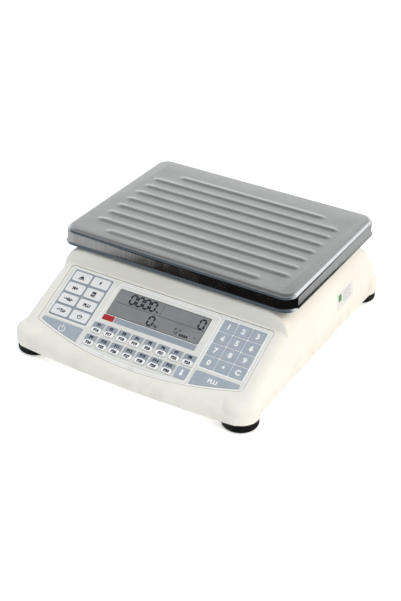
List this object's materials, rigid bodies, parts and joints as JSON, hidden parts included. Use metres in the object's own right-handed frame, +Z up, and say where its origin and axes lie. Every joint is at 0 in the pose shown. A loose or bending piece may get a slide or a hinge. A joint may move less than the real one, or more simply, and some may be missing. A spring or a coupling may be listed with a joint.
{
  "type": "counter scale",
  "caption": "Bench-top retail counter scale: ribbed steel pan on a load cell, sloping keypad with displays front and back, levelling feet.",
  "frame": {"origin": "on the bench, midway between the outsides of the housing in X and in Y", "axes": "+X towards the operator's right, +Y away from the keypad towards the customer, +Z up"},
  "size_m": [0.322, 0.37, 0.1228],
  "materials": {
    "housing_abs": "satin moulded ABS, ivory",
    "stainless": "pressed stainless sheet, satin top and polished rim",
    "cast_aluminium": "cast and machined",
    "plated_steel": "zinc plated",
    "black_rubber": "moulded, matte",
    "overlay_film": "printed polyester film, fine satin",
    "grey_key_film": "printed polyester film, blue-grey",
    "white_key_film": "printed polyester film, off-white",
    "circuit_board": "glass-fibre board with solder mask",
    "display_glass": "liquid crystal display, grey",
    "window_film": "printed window film",
    "battery_case": "moulded battery case",
    "socket_plastic": "moulded socket"
  },
  "bodies": {
    "base": {"upper_housing": "housing_abs", "lower_housing": "housing_abs", "chassis_plate": "plated_steel", "load_cell": "cast_aluminium", "cell_base_bolts": "plated_steel", "keypad_overlay": "overlay_film", "keypad_circuit": "circuit_board", "lcd_module": "display_glass", "main_board": "circuit_board", "rear_display": "display_glass", "rear_window": "window_film", "battery": "battery_case", "power_inlet": "socket_plastic", "housing_screws": "plated_steel"},
    "weigh_deck": {"pan_support": "cast_aluminium", "pan_bumpers": "black_rubber", "cell_deck_bolts": "plated_steel"},
    "pan": {"weighing_pan": "stainless"},
    "foot_front_left": {"foot_front_left": "black_rubber"},
    "foot_front_right": {"foot_front_right": "black_rubber"},
    "foot_rear_left": {"foot_rear_left": "black_rubber"},
    "foot_rear_right": {"foot_rear_right": "black_rubber"},
    "power_key": {"power_key": "grey_key_film"},
    "lookup_key": {"lookup_key": "grey_key_film"},
    "shift_key": {"shift_key": "grey_key_film"},
    "decimal_key": {"decimal_key": "grey_key_film"},
    "clear_key": {"clear_key": "grey_key_film"},
    "digit_key_0": {"digit_key_0": "grey_key_film"},
    "digit_key_1": {"digit_key_1": "grey_key_film"},
    "digit_key_2": {"digit_key_2": "grey_key_film"},
    "digit_key_3": {"digit_key_3": "grey_key_film"},
    "digit_key_4": {"digit_key_4": "grey_key_film"},
    "digit_key_5": {"digit_key_5": "grey_key_film"},
    "digit_key_6": {"digit_key_6": "grey_key_film"},
    "digit_key_7": {"digit_key_7": "grey_key_film"},
    "digit_key_8": {"digit_key_8": "grey_key_film"},
    "digit_key_9": {"digit_key_9": "grey_key_film"},
    "command_key_1": {"command_key_1": "white_key_film"},
    "command_key_2": {"command_key_2": "white_key_film"},
    "command_key_3": {"command_key_3": "white_key_film"},
    "command_key_4": {"command_key_4": "white_key_film"},
    "command_key_5": {"command_key_5": "white_key_film"},
    "command_key_6": {"command_key_6": "white_key_film"},
    "command_key_7": {"command_key_7": "white_key_film"},
    "command_key_8": {"command_key_8": "white_key_film"},
    "function_key_1": {"function_key_1": "white_key_film"},
    "function_key_2": {"function_key_2": "white_key_film"},
    "function_key_3": {"function_key_3": "white_key_film"},
    "function_key_4": {"function_key_4": "white_key_film"},
    "function_key_5": {"function_key_5": "white_key_film"},
    "function_key_6": {"function_key_6": "white_key_film"},
    "function_key_7": {"function_key_7": "white_key_film"},
    "function_key_8": {"function_key_8": "white_key_film"},
    "function_key_9": {"function_key_9": "white_key_film"},
    "function_key_10": {"function_key_10": "white_key_film"},
    "function_key_11": {"function_key_11": "white_key_film"},
    "function_key_12": {"function_key_12": "white_key_film"},
    "function_key_13": {"function_key_13": "white_key_film"},
    "function_key_14": {"function_key_14": "white_key_film"},
    "function_key_15": {"function_key_15": "white_key_film"}
  },
  "joints": [
    {"name": "load_cell_deflection", "type": "slide", "parent": "base", "child": "weigh_deck", "axis": [0, 0, -1], "range_m": [0, 0.0006], "stiffness_N_per_m": 490000, "deforming": ["load_cell"]},
    {"name": "pan_lift_off", "type": "slide", "parent": "weigh_deck", "child": "pan", "axis": [0, 0, 1], "range_m": [0, 0.08]},
    {"name": "foot_front_left_height", "type": "slide", "parent": "base", "child": "foot_front_left", "axis": [0, 0, -1], "range_m": [0, 0.01]},
    {"name": "foot_front_right_height", "type": "slide", "parent": "base", "child": "foot_front_right", "axis": [0, 0, -1], "range_m": [0, 0.01]},
    {"name": "foot_rear_left_height", "type": "slide", "parent": "base", "child": "foot_rear_left", "axis": [0, 0, -1], "range_m": [0, 0.01]},
    {"name": "foot_rear_right_height", "type": "slide", "parent": "base", "child": "foot_rear_right", "axis": [0, 0, -1], "range_m": [0, 0.01]},
    {"name": "power_key_press", "type": "slide", "parent": "base", "child": "power_key", "axis": [0, 0.4462, -0.8949], "range_m": [0, 0.0004], "stiffness_N_per_m": 5000},
    {"name": "lookup_key_press", "type": "slide", "parent": "base", "child": "lookup_key", "axis": [0, 0.4462, -0.8949], "range_m": [0, 0.0004], "stiffness_N_per_m": 5000},
    {"name": "shift_key_press", "type": "slide", "parent": "base", "child": "shift_key", "axis": [0, 0.4462, -0.8949], "range_m": [0, 0.0004], "stiffness_N_per_m": 5000},
    {"name": "decimal_key_press", "type": "slide", "parent": "base", "child": "decimal_key", "axis": [0, 0.4462, -0.8949], "range_m": [0, 0.0004], "stiffness_N_per_m": 5000},
    {"name": "clear_key_press", "type": "slide", "parent": "base", "child": "clear_key", "axis": [0, 0.4462, -0.8949], "range_m": [0, 0.0004], "stiffness_N_per_m": 5000},
    {"name": "digit_key_0_press", "type": "slide", "parent": "base", "child": "digit_key_0", "axis": [0, 0.4462, -0.8949], "range_m": [0, 0.0004], "stiffness_N_per_m": 5000},
    {"name": "digit_key_1_press", "type": "slide", "parent": "base", "child": "digit_key_1", "axis": [0, 0.4462, -0.8949], "range_m": [0, 0.0004], "stiffness_N_per_m": 5000},
    {"name": "digit_key_2_press", "type": "slide", "parent": "base", "child": "digit_key_2", "axis": [0, 0.4462, -0.8949], "range_m": [0, 0.0004], "stiffness_N_per_m": 5000},
    {"name": "digit_key_3_press", "type": "slide", "parent": "base", "child": "digit_key_3", "axis": [0, 0.4462, -0.8949], "range_m": [0, 0.0004], "stiffness_N_per_m": 5000},
    {"name": "digit_key_4_press", "type": "slide", "parent": "base", "child": "digit_key_4", "axis": [0, 0.4462, -0.8949], "range_m": [0, 0.0004], "stiffness_N_per_m": 5000},
    {"name": "digit_key_5_press", "type": "slide", "parent": "base", "child": "digit_key_5", "axis": [0, 0.4462, -0.8949], "range_m": [0, 0.0004], "stiffness_N_per_m": 5000},
    {"name": "digit_key_6_press", "type": "slide", "parent": "base", "child": "digit_key_6", "axis": [0, 0.4462, -0.8949], "range_m": [0, 0.0004], "stiffness_N_per_m": 5000},
    {"name": "digit_key_7_press", "type": "slide", "parent": "base", "child": "digit_key_7", "axis": [0, 0.4462, -0.8949], "range_m": [0, 0.0004], "stiffness_N_per_m": 5000},
    {"name": "digit_key_8_press", "type": "slide", "parent": "base", "child": "digit_key_8", "axis": [0, 0.4462, -0.8949], "range_m": [0, 0.0004], "stiffness_N_per_m": 5000},
    {"name": "digit_key_9_press", "type": "slide", "parent": "base", "child": "digit_key_9", "axis": [0, 0.4462, -0.8949], "range_m": [0, 0.0004], "stiffness_N_per_m": 5000},
    {"name": "command_key_1_press", "type": "slide", "parent": "base", "child": "command_key_1", "axis": [0, 0.4462, -0.8949], "range_m": [0, 0.0004], "stiffness_N_per_m": 5000},
    {"name": "command_key_2_press", "type": "slide", "parent": "base", "child": "command_key_2", "axis": [0, 0.4462, -0.8949], "range_m": [0, 0.0004], "stiffness_N_per_m": 5000},
    {"name": "command_key_3_press", "type": "slide", "parent": "base", "child": "command_key_3", "axis": [0, 0.4462, -0.8949], "range_m": [0, 0.0004], "stiffness_N_per_m": 5000},
    {"name": "command_key_4_press", "type": "slide", "parent": "base", "child": "command_key_4", "axis": [0, 0.4462, -0.8949], "range_m": [0, 0.0004], "stiffness_N_per_m": 5000},
    {"name": "command_key_5_press", "type": "slide", "parent": "base", "child": "command_key_5", "axis": [0, 0.4462, -0.8949], "range_m": [0, 0.0004], "stiffness_N_per_m": 5000},
    {"name": "command_key_6_press", "type": "slide", "parent": "base", "child": "command_key_6", "axis": [0, 0.4462, -0.8949], "range_m": [0, 0.0004], "stiffness_N_per_m": 5000},
    {"name": "command_key_7_press", "type": "slide", "parent": "base", "child": "command_key_7", "axis": [0, 0.4462, -0.8949], "range_m": [0, 0.0004], "stiffness_N_per_m": 5000},
    {"name": "command_key_8_press", "type": "slide", "parent": "base", "child": "command_key_8", "axis": [0, 0.4462, -0.8949], "range_m": [0, 0.0004], "stiffness_N_per_m": 5000},
    {"name": "function_key_1_press", "type": "slide", "parent": "base", "child": "function_key_1", "axis": [0, 0.4462, -0.8949], "range_m": [0, 0.0004], "stiffness_N_per_m": 5000},
    {"name": "function_key_2_press", "type": "slide", "parent": "base", "child": "function_key_2", "axis": [0, 0.4462, -0.8949], "range_m": [0, 0.0004], "stiffness_N_per_m": 5000},
    {"name": "function_key_3_press", "type": "slide", "parent": "base", "child": "function_key_3", "axis": [0, 0.4462, -0.8949], "range_m": [0, 0.0004], "stiffness_N_per_m": 5000},
    {"name": "function_key_4_press", "type": "slide", "parent": "base", "child": "function_key_4", "axis": [0, 0.4462, -0.8949], "range_m": [0, 0.0004], "stiffness_N_per_m": 5000},
    {"name": "function_key_5_press", "type": "slide", "parent": "base", "child": "function_key_5", "axis": [0, 0.4462, -0.8949], "range_m": [0, 0.0004], "stiffness_N_per_m": 5000},
    {"name": "function_key_6_press", "type": "slide", "parent": "base", "child": "function_key_6", "axis": [0, 0.4462, -0.8949], "range_m": [0, 0.0004], "stiffness_N_per_m": 5000},
    {"name": "function_key_7_press", "type": "slide", "parent": "base", "child": "function_key_7", "axis": [0, 0.4462, -0.8949], "range_m": [0, 0.0004], "stiffness_N_per_m": 5000},
    {"name": "function_key_8_press", "type": "slide", "parent": "base", "child": "function_key_8", "axis": [0, 0.4462, -0.8949], "range_m": [0, 0.0004], "stiffness_N_per_m": 5000},
    {"name": "function_key_9_press", "type": "slide", "parent": "base", "child": "function_key_9", "axis": [0, 0.4462, -0.8949], "range_m": [0, 0.0004], "stiffness_N_per_m": 5000},
    {"name": "function_key_10_press", "type": "slide", "parent": "base", "child": "function_key_10", "axis": [0, 0.4462, -0.8949], "range_m": [0, 0.0004], "stiffness_N_per_m": 5000},
    {"name": "function_key_11_press", "type": "slide", "parent": "base", "child": "function_key_11", "axis": [0, 0.4462, -0.8949], "range_m": [0, 0.0004], "stiffness_N_per_m": 5000},
    {"name": "function_key_12_press", "type": "slide", "parent": "base", "child": "function_key_12", "axis": [0, 0.4462, -0.8949], "range_m": [0, 0.0004], "stiffness_N_per_m": 5000},
    {"name": "function_key_13_press", "type": "slide", "parent": "base", "child": "function_key_13", "axis": [0, 0.4462, -0.8949], "range_m": [0, 0.0004], "stiffness_N_per_m": 5000},
    {"name": "function_key_14_press", "type": "slide", "parent": "base", "child": "function_key_14", "axis": [0, 0.4462, -0.8949], "range_m": [0, 0.0004], "stiffness_N_per_m": 5000},
    {"name": "function_key_15_press", "type": "slide", "parent": "base", "child": "function_key_15", "axis": [0, 0.4462, -0.8949], "range_m": [0, 0.0004], "stiffness_N_per_m": 5000}
  ]
}
